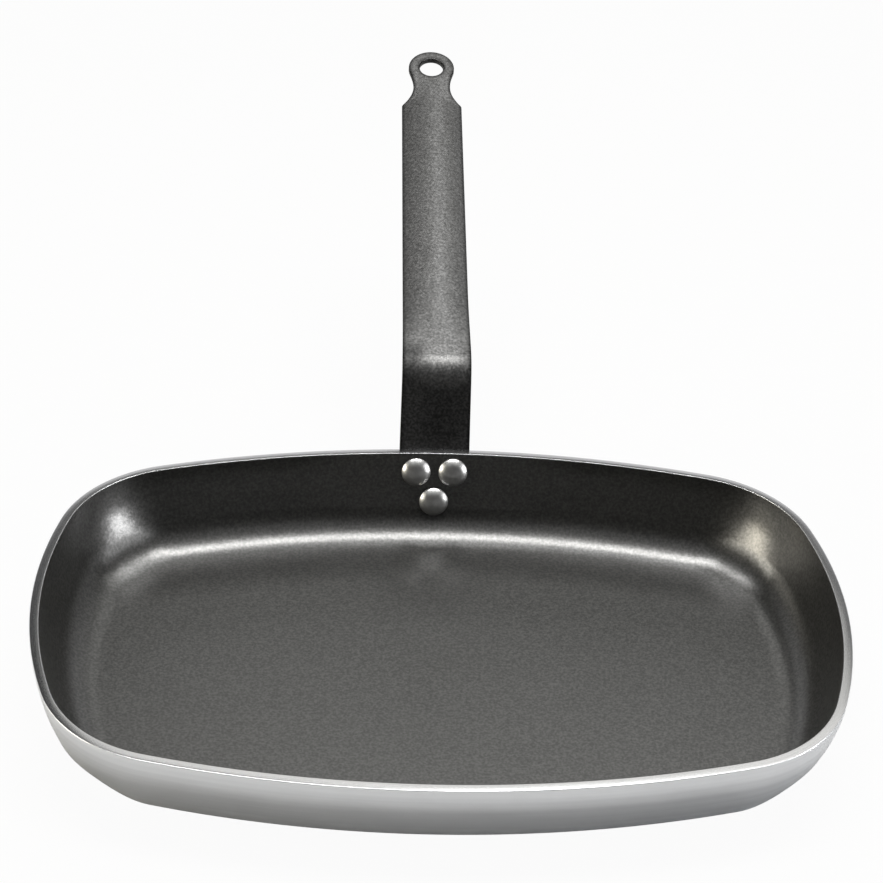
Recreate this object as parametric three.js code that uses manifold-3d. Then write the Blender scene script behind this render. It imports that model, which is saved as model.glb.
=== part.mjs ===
// Fish pan: a shallow drawn aluminium pan with bulged sides, a non-stick lining and a bent
// strip handle that three rivets hold to one long side. Millimetres, +Z up. The origin is the
// middle of the base's underside, +X runs along the pan and +Y points to the handle.

import * as THREE from "three";
import { mergeVertices } from "three/addons/utils/BufferGeometryUtils.js";
import Module from "manifold-3d";

// Pan body, measured over the outside of the sheet before its rim edge is rounded. The side
// radii bulge the long and short sides, and the corner radius joins them at the rim. The wall
// swells out of its straight line by the swell, and its corners are tucked in towards the base.
const PAN_LENGTH = 380;
const PAN_WIDTH = 260;
const PAN_HEIGHT = 44;
const LONG_SIDE_RADIUS = 510;
const SHORT_SIDE_RADIUS = 237;
const CORNER_RADIUS = 66;
const WALL_LEAN_DEGREES = 16;
const BASE_EDGE_RADIUS = 24;
const WALL_SWELL = 1.3;
const SWELL_FROM_HEIGHT = 6;
const CORNER_TUCK = 2.4;
const TUCK_FULL_HEIGHT = 4;
const TUCK_TOP_HEIGHT = 32;
const RIM_EDGE_RADIUS = 1;
const SHEET_THICKNESS = 4;
const LINING_THICKNESS = 0.3;

// Handle strip. Its path is the middle of the face that is in front at the foot and on top at
// the grip. The rise is the stretch from the rim up to the bend. The arch across the grip starts
// by its lead before the bend's end and is full at its run-in after it.
const STRIP_THICKNESS = 3.2;
const STRIP_EDGE_BEVEL = 0.7;
const FOOT_WIDTH = 34.8;
const BEND_RISE = 34.5;
const BEND_RADIUS = 15;
const GRIP_SLOPE_DEGREES = 16;
const GRIP_TO_EYE = 203.6;
const GRIP_ARCH = 4.4;
const ARCH_LEAD = 3;
const ARCH_RUN_IN = 45;
const SHOULDER_WIDTH = 32.2;
const SHOULDER_ROUNDING = 1.8;
const SHOULDER_HOLLOW_RADIUS = 13;
const NECK_WIDTH = 19.7;
const EYE_HOLLOW_RADIUS = 32;
const EYE_RADIUS = 12.1;
const EYE_HOLE_DIAMETER = 12.6;

// Rivets, with the button head inside the pan and the closed tail outside. The drop is
// measured down the wall from the rim's outer edge to the upper pair.
const RIVET_SPACING = 18.5;
const RIVET_DROP = 10.7;
const RIVET_ROW_STEP = 15.2;
const SHANK_DIAMETER = 6;
const HEAD_DIAMETER = 14.4;
const HEAD_HEIGHT = 3.4;
const TAIL_DIAMETER = 11;
const TAIL_HEIGHT = 2.6;
const BUTTON_EDGE = 0.6;

// Clearances between seated faces, and round a shank in its holes. The wall is kept straight
// behind the handle's foot and by a margin on both sides of it, and runs into the swell there.
const SEAT_GAP = 0.3;
const SHANK_CLEARANCE = 0.3;
const SEAT_MARGIN = 2.6;
const SEAT_RUN_OUT = 55;

// Facet counts of the arcs.
const SHORT_SIDE_FACETS = 8;
const CORNER_FACETS = 9;
const LONG_SIDE_FACETS = 12;
const BASE_EDGE_FACETS = 6;
const WALL_FACETS = 5;
const RIM_EDGE_FACETS = 3;
const STRIP_ACROSS_FACETS = 6;
const STRIP_END_FACETS = 6;
const FOOT_FACETS = 2;
const RISE_FACETS = 6;
const BEND_FACETS = 8;
const ARCH_FACETS = 6;
const GRIP_FACETS = 4;
const SHOULDER_FACETS = 2;
const NECK_FACETS = 4;
const ROUND_FACETS = 20;
const BUTTON_FACETS = 4;

const wasm = await Module();
wasm.setup();

const { clamp, degToRad, inverseLerp, lerp, smoothstep } = THREE.MathUtils;

// Values from one end to the other in equal steps, both ends included.
function sweep(from, to, count) {
  return Array.from({ length: count + 1 }, (_, step) => lerp(from, to, step / count));
}

// The same values without the last, for a closed ring or a row that goes on.
function steps(from, to, count) {
  return sweep(from, to, count).slice(0, count);
}

// Closed skin over a row of rings that have as many points each, with a fan over both ends.
// A facet's diagonal starts at its lower edge on rising and falling rows alike, so two skins
// over the same rings, one on each side, have the same triangles and touch without a gap.
function loft(rings) {
  const count = rings[0].length;
  const points = rings.flat();
  const faces = [];
  for (let row = 0; row + 1 < rings.length; row += 1) {
    for (let side = 0; side < count; side += 1) {
      const next = (side + 1) % count;
      const [a, b] = [row * count + side, row * count + next];
      const [c, d] = [b + count, a + count];
      const rising = points[d].z >= points[a].z;
      faces.push(...(rising ? [a, b, c, a, c, d] : [a, b, d, b, c, d]));
    }
  }
  for (const [ring, start] of [[rings[0], 0], [rings.at(-1), points.length - count]]) {
    const middle = points.length;
    points.push(ring.reduce((sum, point) => sum.add(point), new THREE.Vector3()).divideScalar(count));
    for (let side = 0; side < count; side += 1) {
      const edge = [start + side, start + ((side + 1) % count)];
      faces.push(middle, ...(start === 0 ? edge.reverse() : edge));
    }
  }
  return new THREE.BufferGeometry().setFromPoints(points).setIndex(faces);
}

function solidFrom(geometry) {
  const bare = geometry.clone();
  bare.deleteAttribute("normal");
  bare.deleteAttribute("uv");
  const merged = mergeVertices(bare);
  const vertProperties = merged.getAttribute("position").array;
  const triVerts = Uint32Array.from(merged.index.array);
  return new wasm.Manifold(new wasm.Mesh({ numProp: 3, vertProperties, triVerts }));
}

// A geometry with the cutters' shapes taken out of it.
function cut(geometry, cutters) {
  const left = cutters.reduce((rest, cutter) => rest.subtract(solidFrom(cutter)), solidFrom(geometry));
  const { vertProperties, triVerts } = left.getMesh();
  const result = new THREE.BufferGeometry();
  result.setAttribute("position", new THREE.BufferAttribute(vertProperties, 3));
  result.setIndex(new THREE.BufferAttribute(triVerts, 1));
  return result;
}

function piece(name, geometry, finish) {
  geometry.computeVertexNormals();
  const mesh = new THREE.Mesh(geometry, finish);
  mesh.name = name;
  return mesh;
}

// The crossing of two circles that lies to the left on the way from the first to the second.
function meetOfCircles(first, firstRadius, second, secondRadius) {
  const way = second.clone().sub(first);
  const distance = way.length();
  way.normalize();
  const along = (firstRadius ** 2 - secondRadius ** 2 + distance ** 2) / (2 * distance);
  const aside = Math.sqrt(firstRadius ** 2 - along ** 2);
  const left = new THREE.Vector2(-way.y, way.x);
  return first.clone().addScaledVector(way, along).addScaledVector(left, aside);
}

// Rim outline: a long-side arc, a corner arc and a short-side arc in each quarter, all tangent.
// The corner arc's centre lies where the two side arcs, drawn in by its radius, meet.
const halfLength = PAN_LENGTH / 2;
const halfWidth = PAN_WIDTH / 2;
const shortSideCentre = new THREE.Vector2(halfLength - SHORT_SIDE_RADIUS, 0);
const longSideCentre = new THREE.Vector2(0, halfWidth - LONG_SIDE_RADIUS);
const cornerCentre = meetOfCircles(
  shortSideCentre,
  SHORT_SIDE_RADIUS - CORNER_RADIUS,
  longSideCentre,
  LONG_SIDE_RADIUS - CORNER_RADIUS,
);
const cornerStart = cornerCentre.clone().sub(shortSideCentre).angle();
const cornerEnd = cornerCentre.clone().sub(longSideCentre).angle();

// A direction folded into the first quarter, which is like the other three.
function quarterOf(direction) {
  return Math.atan2(Math.abs(Math.sin(direction)), Math.abs(Math.cos(direction)));
}

// The point of the outline whose outward direction is given, on the curve that runs parallel
// to the rim at an inset from it.
function outlinePoint(direction, inset, height) {
  const across = Math.cos(direction);
  const towards = Math.sin(direction);
  const quarter = quarterOf(direction);
  let centre = cornerCentre;
  let radius = CORNER_RADIUS;
  if (quarter < cornerStart) {
    centre = shortSideCentre;
    radius = SHORT_SIDE_RADIUS;
  } else if (quarter > cornerEnd) {
    centre = longSideCentre;
    radius = LONG_SIDE_RADIUS;
  }
  return new THREE.Vector3(
    Math.sign(across) * centre.x + (radius - inset) * across,
    Math.sign(towards) * centre.y + (radius - inset) * towards,
    height,
  );
}

// The same point on the drawn wall, with its swell and the tuck of its corners. The swell is
// nothing at the rim and low on the base edge, and a cubic between with its crest at two thirds.
const CUBIC_CREST = 4 / 27;

function wallPoint(direction, inset, height) {
  const rim = outlinePoint(direction, 0, PAN_HEIGHT);
  const seatHalf = FOOT_WIDTH / 2 + SEAT_MARGIN;
  const swollen = rim.y > 0 ? smoothstep(Math.abs(rim.x), seatHalf, seatHalf + SEAT_RUN_OUT) : 1;
  const share = clamp(inverseLerp(SWELL_FROM_HEIGHT, PAN_HEIGHT, height), 0, 1);
  const swell = (WALL_SWELL * swollen * share ** 2 * (1 - share)) / CUBIC_CREST;
  const cornering = clamp(inverseLerp(cornerStart, cornerEnd, quarterOf(direction)), 0, 1);
  const lowness = 1 - smoothstep(height, TUCK_FULL_HEIGHT, TUCK_TOP_HEIGHT);
  const tuck = CORNER_TUCK * Math.sin(Math.PI * cornering) ** 2 * lowness;
  return outlinePoint(direction, inset - swell + tuck, height);
}

const outlineDirections = [0, Math.PI].flatMap((turn) => [
  ...steps(turn - cornerStart, turn + cornerStart, SHORT_SIDE_FACETS),
  ...steps(turn + cornerStart, turn + cornerEnd, CORNER_FACETS),
  ...steps(turn + cornerEnd, turn + Math.PI - cornerEnd, LONG_SIDE_FACETS),
  ...steps(turn + Math.PI - cornerEnd, turn + Math.PI - cornerStart, CORNER_FACETS),
]);

// Wall section, as points of inset from the rim outline and height, before the swell and the
// tuck. Every face of the sheet and the lining is parallel to the sheet's outer face, at a depth
// inside it.
const wallLean = degToRad(WALL_LEAN_DEGREES);
const baseEdgeCentre = new THREE.Vector2(
  Math.tan(wallLean) * (PAN_HEIGHT - BASE_EDGE_RADIUS) + BASE_EDGE_RADIUS / Math.cos(wallLean),
  BASE_EDGE_RADIUS,
);

function baseEdge(depth) {
  const radius = BASE_EDGE_RADIUS - depth;
  return sweep(Math.PI / 2, wallLean, BASE_EDGE_FACETS).map(
    (angle) =>
      new THREE.Vector2(
        baseEdgeCentre.x - radius * Math.cos(angle),
        baseEdgeCentre.y - radius * Math.sin(angle),
      ),
  );
}

function rimPoint(depth) {
  return new THREE.Vector2(depth / Math.cos(wallLean), PAN_HEIGHT);
}

// The rim's outer edge, rounded from the leaning wall to the flat top.
function rimEdge() {
  const inset = RIM_EDGE_RADIUS * (Math.tan(wallLean) + 1 / Math.cos(wallLean));
  return sweep(-wallLean, Math.PI / 2, RIM_EDGE_FACETS).map(
    (angle) =>
      new THREE.Vector2(
        inset - RIM_EDGE_RADIUS * Math.cos(angle),
        PAN_HEIGHT - RIM_EDGE_RADIUS + RIM_EDGE_RADIUS * Math.sin(angle),
      ),
  );
}

// One face of the wall at a depth, from the flat base up to a point at the rim.
function wallFace(depth, top) {
  const edge = baseEdge(depth);
  const low = edge.at(-1);
  const wall = sweep(0, 1, WALL_FACETS).map((share) => low.clone().lerp(top, share));
  return [...edge, ...wall.slice(1)];
}

function dish(section) {
  return loft(
    section.map((point) =>
      outlineDirections.map((direction) => wallPoint(direction, point.x, point.y)),
    ),
  );
}

const liningDepth = SHEET_THICKNESS + LINING_THICKNESS;
const [rimStart, ...rimRest] = rimEdge();
const sheetFace = wallFace(SHEET_THICKNESS, rimPoint(SHEET_THICKNESS));
const liningFace = wallFace(liningDepth, rimPoint(liningDepth));
const panSection = [...wallFace(0, rimStart), ...rimRest, ...sheetFace.toReversed()];
const liningSection = [...sheetFace, ...liningFace.toReversed()];

// Riveting place on the handle's long wall, at a distance to the right of its middle: the
// origin is on the rim's outer edge, +Y points out of the wall and +Z up along it.
function wallSeat(sideways) {
  const turn = Math.asin(sideways / LONG_SIDE_RADIUS);
  const seat = new THREE.Group();
  seat.position.copy(outlinePoint(Math.PI / 2 - turn, 0, PAN_HEIGHT));
  seat.rotation.set(-wallLean, 0, -turn, "ZXY");
  seat.updateMatrix();
  return seat;
}

const rivets = [
  { name: "rivet_left", sideways: -RIVET_SPACING / 2, drop: RIVET_DROP },
  { name: "rivet_right", sideways: RIVET_SPACING / 2, drop: RIVET_DROP },
  { name: "rivet_lower", sideways: 0, drop: RIVET_DROP + RIVET_ROW_STEP },
];

// Where the sheet, the lining and the strip lie in a riveting place, outwards from the wall.
const footFront = SEAT_GAP;
const footBack = footFront + STRIP_THICKNESS;

const rivetHoles = rivets.map(({ sideways, drop }) => {
  const radius = SHANK_DIAMETER / 2 + SHANK_CLEARANCE;
  const length = 2 * (liningDepth + footBack);
  const hole = new THREE.CylinderGeometry(radius, radius, length, ROUND_FACETS);
  return hole.translate(0, 0, -drop).applyMatrix4(wallSeat(sideways).matrix);
});

// How far the lining's base edge stands in front of the wall's plane, at a drop from the rim.
function liningRise(drop) {
  const straight = (PAN_HEIGHT - BASE_EDGE_RADIUS * (1 - Math.sin(wallLean))) / Math.cos(wallLean);
  const radius = BASE_EDGE_RADIUS - liningDepth;
  const past = Math.max(drop - straight, 0);
  return radius - Math.sqrt(radius ** 2 - past ** 2);
}

// Button of a rivet, from its crown to the edge of its seat. Way is -1 for one that points
// into the pan and 1 for one that points out.
function button(diameter, height, seat, way) {
  const edge = diameter / 2;
  const cap = height - BUTTON_EDGE;
  const capRadius = (edge ** 2 + cap ** 2) / (2 * cap);
  const capMiddle = height - capRadius;
  const dome = sweep(0, Math.asin(edge / capRadius), BUTTON_FACETS).map(
    (angle) =>
      new THREE.Vector2(
        capRadius * Math.sin(angle),
        seat + way * (capMiddle + capRadius * Math.cos(angle)),
      ),
  );
  return [...dome, new THREE.Vector2(edge, seat)];
}

// One solid rivet. Its head seats on the lining, clear of the base edge, and its tail on the
// back of the handle's foot.
function rivet({ drop }) {
  const headSeat = -(liningDepth + SEAT_GAP + liningRise(drop + HEAD_DIAMETER / 2));
  const tailSeat = footBack + SEAT_GAP;
  const shank = SHANK_DIAMETER / 2;
  const profile = [
    ...button(HEAD_DIAMETER, HEAD_HEIGHT, headSeat, -1),
    new THREE.Vector2(shank, headSeat),
    new THREE.Vector2(shank, tailSeat),
    ...button(TAIL_DIAMETER, TAIL_HEIGHT, tailSeat, 1).reverse(),
  ];
  return new THREE.LatheGeometry(profile, ROUND_FACETS).translate(0, 0, -drop);
}

// Handle strip. Distances run along its path from the rim, up to the bend, round it and along
// the grip to the eye. Its foot ends in a full round about the middle of the three rivets.
const gripSlope = degToRad(GRIP_SLOPE_DEGREES);
const bendTurn = Math.PI / 2 - wallLean - gripSlope;
const bendEnd = BEND_RISE + BEND_RADIUS * bendTurn;
const footHalf = FOOT_WIDTH / 2;
const footCentre = -(RIVET_DROP + RIVET_ROW_STEP / rivets.length);

// Outline of the grip's end: a rounded shoulder, a hollow arc down to the neck, a longer hollow
// arc up to the eye, and the eye. Neighbouring arcs are tangent.
const eyeAt = bendEnd + GRIP_TO_EYE;
const eyeHollowAside = NECK_WIDTH / 2 + EYE_HOLLOW_RADIUS;
const eyeArcs = EYE_RADIUS + EYE_HOLLOW_RADIUS;
const neckAt = eyeAt - Math.sqrt(eyeArcs ** 2 - eyeHollowAside ** 2);
const eyeStart = lerp(neckAt, eyeAt, EYE_HOLLOW_RADIUS / eyeArcs);
const shoulderHalf = SHOULDER_WIDTH / 2;
const roundingAside = shoulderHalf - SHOULDER_ROUNDING;
const hollowAside = NECK_WIDTH / 2 + SHOULDER_HOLLOW_RADIUS;
const shoulderArcs = SHOULDER_ROUNDING + SHOULDER_HOLLOW_RADIUS;
const shoulderAt = neckAt - Math.sqrt(shoulderArcs ** 2 - (hollowAside - roundingAside) ** 2);
const hollowStart = lerp(shoulderAt, neckAt, SHOULDER_ROUNDING / shoulderArcs);

function stripHalfWidth(distance) {
  if (distance < footCentre) {
    return Math.sqrt(footHalf ** 2 - (footCentre - distance) ** 2);
  }
  if (distance < shoulderAt) {
    return lerp(footHalf, shoulderHalf, (distance - footCentre) / (shoulderAt - footCentre));
  }
  if (distance < hollowStart) {
    return roundingAside + Math.sqrt(SHOULDER_ROUNDING ** 2 - (distance - shoulderAt) ** 2);
  }
  if (distance < neckAt) {
    return hollowAside - Math.sqrt(SHOULDER_HOLLOW_RADIUS ** 2 - (distance - neckAt) ** 2);
  }
  if (distance < eyeStart) {
    return eyeHollowAside - Math.sqrt(EYE_HOLLOW_RADIUS ** 2 - (distance - neckAt) ** 2);
  }
  return Math.sqrt(EYE_RADIUS ** 2 - (distance - eyeAt) ** 2);
}

// Curvature across the strip: the foot hollows to the wall it seats on, the strip is flat in
// the bend, the grip is pressed into an arch, and the eye is flat again.
const archFull = bendEnd + ARCH_RUN_IN;

function stripCurvature(distance) {
  const seated = -(1 - smoothstep(distance, 0, BEND_RISE)) / LONG_SIDE_RADIUS;
  const arched = smoothstep(distance, bendEnd - ARCH_LEAD, archFull);
  const released = 1 - smoothstep(distance, shoulderAt, eyeStart);
  return seated + (arched * released * 2 * GRIP_ARCH) / shoulderHalf ** 2;
}

// Place and directions of the strip at a distance along its path.
function stripFrame(distance) {
  const start = new THREE.Vector3(0, halfWidth, PAN_HEIGHT);
  const wallOut = new THREE.Vector3(0, Math.cos(wallLean), -Math.sin(wallLean));
  const wallUp = new THREE.Vector3(0, Math.sin(wallLean), Math.cos(wallLean));
  start.addScaledVector(wallOut, footFront);
  const turned = Math.min(Math.max((distance - BEND_RISE) / BEND_RADIUS, 0), bendTurn);
  const bendCentre = start.clone().addScaledVector(wallUp, BEND_RISE);
  bendCentre.addScaledVector(wallOut, BEND_RADIUS);
  const across = new THREE.Vector3(1, 0, 0);
  const normal = wallOut.clone().negate().applyAxisAngle(across, -turned);
  const along = wallUp.clone().applyAxisAngle(across, -turned);
  const straight = distance - Math.min(Math.max(distance, BEND_RISE), bendEnd);
  const point = bendCentre.addScaledVector(normal, BEND_RADIUS).addScaledVector(along, straight);
  return { point, across, normal };
}

// Section across the strip: over the face to the right, round the bevelled edge and back
// under the other face, which is parallel to the first.
function stripSection(distance) {
  const { point, across, normal } = stripFrame(distance);
  const curvature = stripCurvature(distance);
  const half = stripHalfWidth(distance);
  const inner = half - STRIP_EDGE_BEVEL;
  const place = (aside, depth) => {
    const slope = curvature * aside;
    const length = Math.hypot(1, slope);
    const sideways = aside - (depth * slope) / length;
    const raised = (-slope * aside) / 2 - depth / length;
    return point.clone().addScaledVector(across, sideways).addScaledVector(normal, raised);
  };
  const row = sweep(-inner, inner, STRIP_ACROSS_FACETS);
  const lowEdge = STRIP_THICKNESS - STRIP_EDGE_BEVEL;
  return [
    ...row.map((aside) => place(aside, 0)),
    place(half, STRIP_EDGE_BEVEL),
    place(half, lowEdge),
    ...row.reverse().map((aside) => place(aside, STRIP_THICKNESS)),
    place(-half, lowEdge),
    place(-half, STRIP_EDGE_BEVEL),
  ];
}

// Distances at which the strip has a section, closer together where it bends or narrows. A
// round end starts one facet in from its tip, which leaves a short straight edge there.
const endFacet = Math.PI / 2 / STRIP_END_FACETS;
const eyeStartAngle = Math.asin((eyeStart - eyeAt) / EYE_RADIUS);
const stripDistances = [
  ...steps(endFacet, Math.PI / 2, STRIP_END_FACETS).map((turn) => footCentre - footHalf * Math.cos(turn)),
  ...steps(footCentre, 0, FOOT_FACETS),
  ...steps(0, BEND_RISE, RISE_FACETS),
  ...steps(BEND_RISE, bendEnd, BEND_FACETS),
  ...steps(bendEnd, archFull, ARCH_FACETS),
  ...steps(archFull, shoulderAt, GRIP_FACETS),
  ...steps(shoulderAt, hollowStart, SHOULDER_FACETS),
  ...steps(hollowStart, neckAt, NECK_FACETS),
  ...steps(neckAt, eyeStart, NECK_FACETS),
  ...sweep(eyeStartAngle, Math.PI / 2 - endFacet, 2 * STRIP_END_FACETS).map(
    (turn) => eyeAt + EYE_RADIUS * Math.sin(turn),
  ),
];

// The eye's hole, longer than the strip is thick so that it passes both faces.
function eyeHole() {
  const { point, normal } = stripFrame(eyeAt);
  const radius = EYE_HOLE_DIAMETER / 2;
  const length = 4 * STRIP_THICKNESS;
  const hole = new THREE.CylinderGeometry(radius, radius, length, ROUND_FACETS);
  const upright = new THREE.Quaternion().setFromUnitVectors(new THREE.Vector3(0, 1, 0), normal);
  return hole.applyQuaternion(upright).translate(point.x, point.y, point.z);
}

// Finishes: brushed bare sheet, dark lining, black baked powder on the strip, polished rivets.
const bareSheet = new THREE.MeshStandardMaterial({ color: 0xb4b5b6, roughness: 0.35, metalness: 1 });
const darkLining = new THREE.MeshStandardMaterial({ color: 0x3a3934, roughness: 0.5, metalness: 0 });
const bakedBlack = new THREE.MeshStandardMaterial({ color: 0x2a2a2b, roughness: 0.55, metalness: 0 });
const polished = new THREE.MeshStandardMaterial({ color: 0xc8c7c3, roughness: 0.25, metalness: 1 });

const strip = loft(stripDistances.map(stripSection));
const fishPan = new THREE.Group();
fishPan.name = "fish_pan";
fishPan.add(
  piece("pan_body", cut(dish(panSection), rivetHoles), bareSheet),
  piece("nonstick_coating", cut(dish(liningSection), rivetHoles), darkLining),
  piece("handle", cut(strip, [...rivetHoles, eyeHole()]), bakedBlack),
);
for (const place of rivets) {
  const seat = wallSeat(place.sideways);
  seat.add(piece(place.name, rivet(place), polished));
  fishPan.add(seat);
}

export default fishPan;
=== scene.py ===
# Fish pan: a shallow drawn aluminium pan with a dark non-stick lining and a bent strip handle
# on three rivets, standing on a pale studio floor. Metres, +Z up, +Y towards the handle.
import math

import bmesh
import bpy
from mathutils import Matrix, Vector


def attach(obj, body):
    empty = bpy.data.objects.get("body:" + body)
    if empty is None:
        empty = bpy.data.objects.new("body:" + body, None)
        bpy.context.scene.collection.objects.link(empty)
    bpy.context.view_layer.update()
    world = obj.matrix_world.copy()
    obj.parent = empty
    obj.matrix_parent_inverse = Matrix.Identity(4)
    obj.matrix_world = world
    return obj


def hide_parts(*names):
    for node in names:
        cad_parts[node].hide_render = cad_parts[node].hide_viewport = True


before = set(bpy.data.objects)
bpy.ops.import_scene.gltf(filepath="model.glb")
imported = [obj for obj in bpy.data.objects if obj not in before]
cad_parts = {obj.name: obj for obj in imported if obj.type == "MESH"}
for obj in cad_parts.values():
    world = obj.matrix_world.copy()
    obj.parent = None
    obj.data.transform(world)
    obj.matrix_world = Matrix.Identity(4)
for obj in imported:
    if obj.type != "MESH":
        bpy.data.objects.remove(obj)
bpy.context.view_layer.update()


# Pan body. One blank of 4 mm aluminium sheet, drawn into a shallow dish with bulged sides and
# leaning walls. The outside is left bare and brushed along the wall, and the rim is turned.
PAN_LENGTH = 0.380
PAN_WIDTH = 0.260
PAN_HEIGHT = 0.044
LONG_SIDE_RADIUS = 0.510
SHORT_SIDE_RADIUS = 0.237
CORNER_RADIUS = 0.066
WALL_LEAN = math.radians(16)
BASE_EDGE_RADIUS = 0.024
SHEET_THICKNESS = 0.004
RIM_OUTER_ROUNDING = 0.0003
RIM_INNER_ROUNDING = 0.0002
RIM_SLOPE = math.radians(4)
WALL_SWELL = 0.0013
SWELL_FROM_HEIGHT = 0.006
FLAT_SEAT_HALF = 0.020
SWELL_FULL_HALF = 0.075
CORNER_TUCK = 0.0024
TUCK_FULL_HEIGHT = 0.004
TUCK_TOP_HEIGHT = 0.032
SHORT_SIDE_STEPS = 28
CORNER_STEPS = 26
LONG_SIDE_STEPS = 44
BASE_EDGE_STEPS = 20
WALL_STEPS = 12
RIM_STEPS = 6
FLOOR_RING_SHARES = (0.985, 0.8, 0.55, 0.3)
DISH_HARD_EDGE = math.radians(40)


def spread(start, end, count):
    """Values from start to end in equal steps, both ends included."""
    return [start + (end - start) * step / count for step in range(count + 1)]


def left_crossing(first, first_radius, second, second_radius):
    """The crossing of two circles that lies to the left on the way from the first to the second."""
    way = second - first
    distance = way.length
    way.normalize()
    along = (first_radius**2 - second_radius**2 + distance**2) / (2 * distance)
    aside = math.sqrt(first_radius**2 - along**2)
    return first + along * way + aside * Vector((-way.y, way.x))


short_side_centre = Vector((PAN_LENGTH / 2 - SHORT_SIDE_RADIUS, 0))
long_side_centre = Vector((0, PAN_WIDTH / 2 - LONG_SIDE_RADIUS))
corner_centre = left_crossing(
    short_side_centre,
    SHORT_SIDE_RADIUS - CORNER_RADIUS,
    long_side_centre,
    LONG_SIDE_RADIUS - CORNER_RADIUS,
)
corner_start = math.atan2(corner_centre.y, corner_centre.x - short_side_centre.x)
corner_end = math.atan2(corner_centre.y - long_side_centre.y, corner_centre.x)


def outline_point(direction, inset, height):
    """Point of the rim's outline with that outward direction, drawn in by an inset."""
    across, towards = math.cos(direction), math.sin(direction)
    quarter = math.atan2(abs(towards), abs(across))
    centre, radius = corner_centre, CORNER_RADIUS
    if quarter < corner_start:
        centre, radius = short_side_centre, SHORT_SIDE_RADIUS
    elif quarter > corner_end:
        centre, radius = long_side_centre, LONG_SIDE_RADIUS
    return Vector((
        math.copysign(centre.x, across * centre.x) + (radius - inset) * across,
        math.copysign(centre.y, towards * centre.y) + (radius - inset) * towards,
        height,
    ))


outline_directions = []
for turn in (0, math.pi):
    half_round = turn + math.pi
    outline_directions += spread(turn - corner_start, turn + corner_start, SHORT_SIDE_STEPS)[:-1]
    outline_directions += spread(turn + corner_start, turn + corner_end, CORNER_STEPS)[:-1]
    outline_directions += spread(turn + corner_end, half_round - corner_end, LONG_SIDE_STEPS)[:-1]
    outline_directions += spread(half_round - corner_end, half_round - corner_start, CORNER_STEPS)[:-1]


def eased(value, start, end):
    """Smooth step from 0 to 1 between two values."""
    share = min(max((value - start) / (end - start), 0), 1)
    return share * share * (3 - 2 * share)


def wall_point(direction, inset, height):
    """Point of the drawn wall: it swells between rim and floor, and is tucked in at the corners."""
    rim = outline_point(direction, 0, PAN_HEIGHT)
    swollen = eased(abs(rim.x), FLAT_SEAT_HALF, SWELL_FULL_HALF) if rim.y > 0 else 1
    share = min(max((height - SWELL_FROM_HEIGHT) / (PAN_HEIGHT - SWELL_FROM_HEIGHT), 0), 1)
    # A cubic that is 0 at both ends and 1 at its crest, two thirds of the way up.
    crest = share**2 * (1 - share) * 27 / 4
    quarter = math.atan2(abs(math.sin(direction)), abs(math.cos(direction)))
    cornering = min(max((quarter - corner_start) / (corner_end - corner_start), 0), 1)
    lowness = 1 - eased(height, TUCK_FULL_HEIGHT, TUCK_TOP_HEIGHT)
    tuck = CORNER_TUCK * math.sin(math.pi * cornering) ** 2 * lowness
    return outline_point(direction, inset - WALL_SWELL * swollen * crest + tuck, height)


base_edge_centre = Vector((
    math.tan(WALL_LEAN) * (PAN_HEIGHT - BASE_EDGE_RADIUS) + BASE_EDGE_RADIUS / math.cos(WALL_LEAN),
    BASE_EDGE_RADIUS,
))


def base_edge(depth):
    """Inset and height of the round base edge, from the floor up, at a depth in the sheet."""
    radius = BASE_EDGE_RADIUS - depth
    return [
        Vector((
            base_edge_centre.x - radius * math.cos(angle),
            base_edge_centre.y - radius * math.sin(angle),
        ))
        for angle in spread(math.pi / 2, WALL_LEAN, BASE_EDGE_STEPS)
    ]


def wall_line(lower, upper):
    """Points of the straight wall between two others, without its ends."""
    return [lower.lerp(upper, share) for share in spread(0, 1, WALL_STEPS)[1:-1]]


def rim_rounding(corner, radius, side):
    """The rim's outer edge, for side 1, or its inner edge, for side -1, rounded to the turned top."""
    facings = [
        Vector((-side * math.cos(angle), math.sin(angle)))
        for angle in spread(-side * WALL_LEAN, math.pi / 2 - side * RIM_SLOPE, RIM_STEPS)
    ]
    reach = (facings[0] + facings[-1]) / (1 + facings[0].dot(facings[-1]))
    arc = [corner + radius * (facing - reach) for facing in facings]
    return arc if side > 0 else arc[::-1]


def piece_from(mesh, name, hard_edge):
    """A piece from a finished mesh, shaded smooth where faces meet at less than an angle."""
    data = bpy.data.meshes.new(name)
    mesh.to_mesh(data)
    mesh.free()
    for face in data.polygons:
        face.use_smooth = True
    data.set_sharp_from_angle(angle=hard_edge)
    piece = bpy.data.objects.new(name, data)
    bpy.context.scene.collection.objects.link(piece)
    return piece


def floor_rings(ring):
    """Smaller and smaller rings of a flat floor inside its outer ring."""
    return [
        [Vector((share * point.x, share * point.y, point.z)) for point in ring]
        for share in FLOOR_RING_SHARES
    ]


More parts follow.
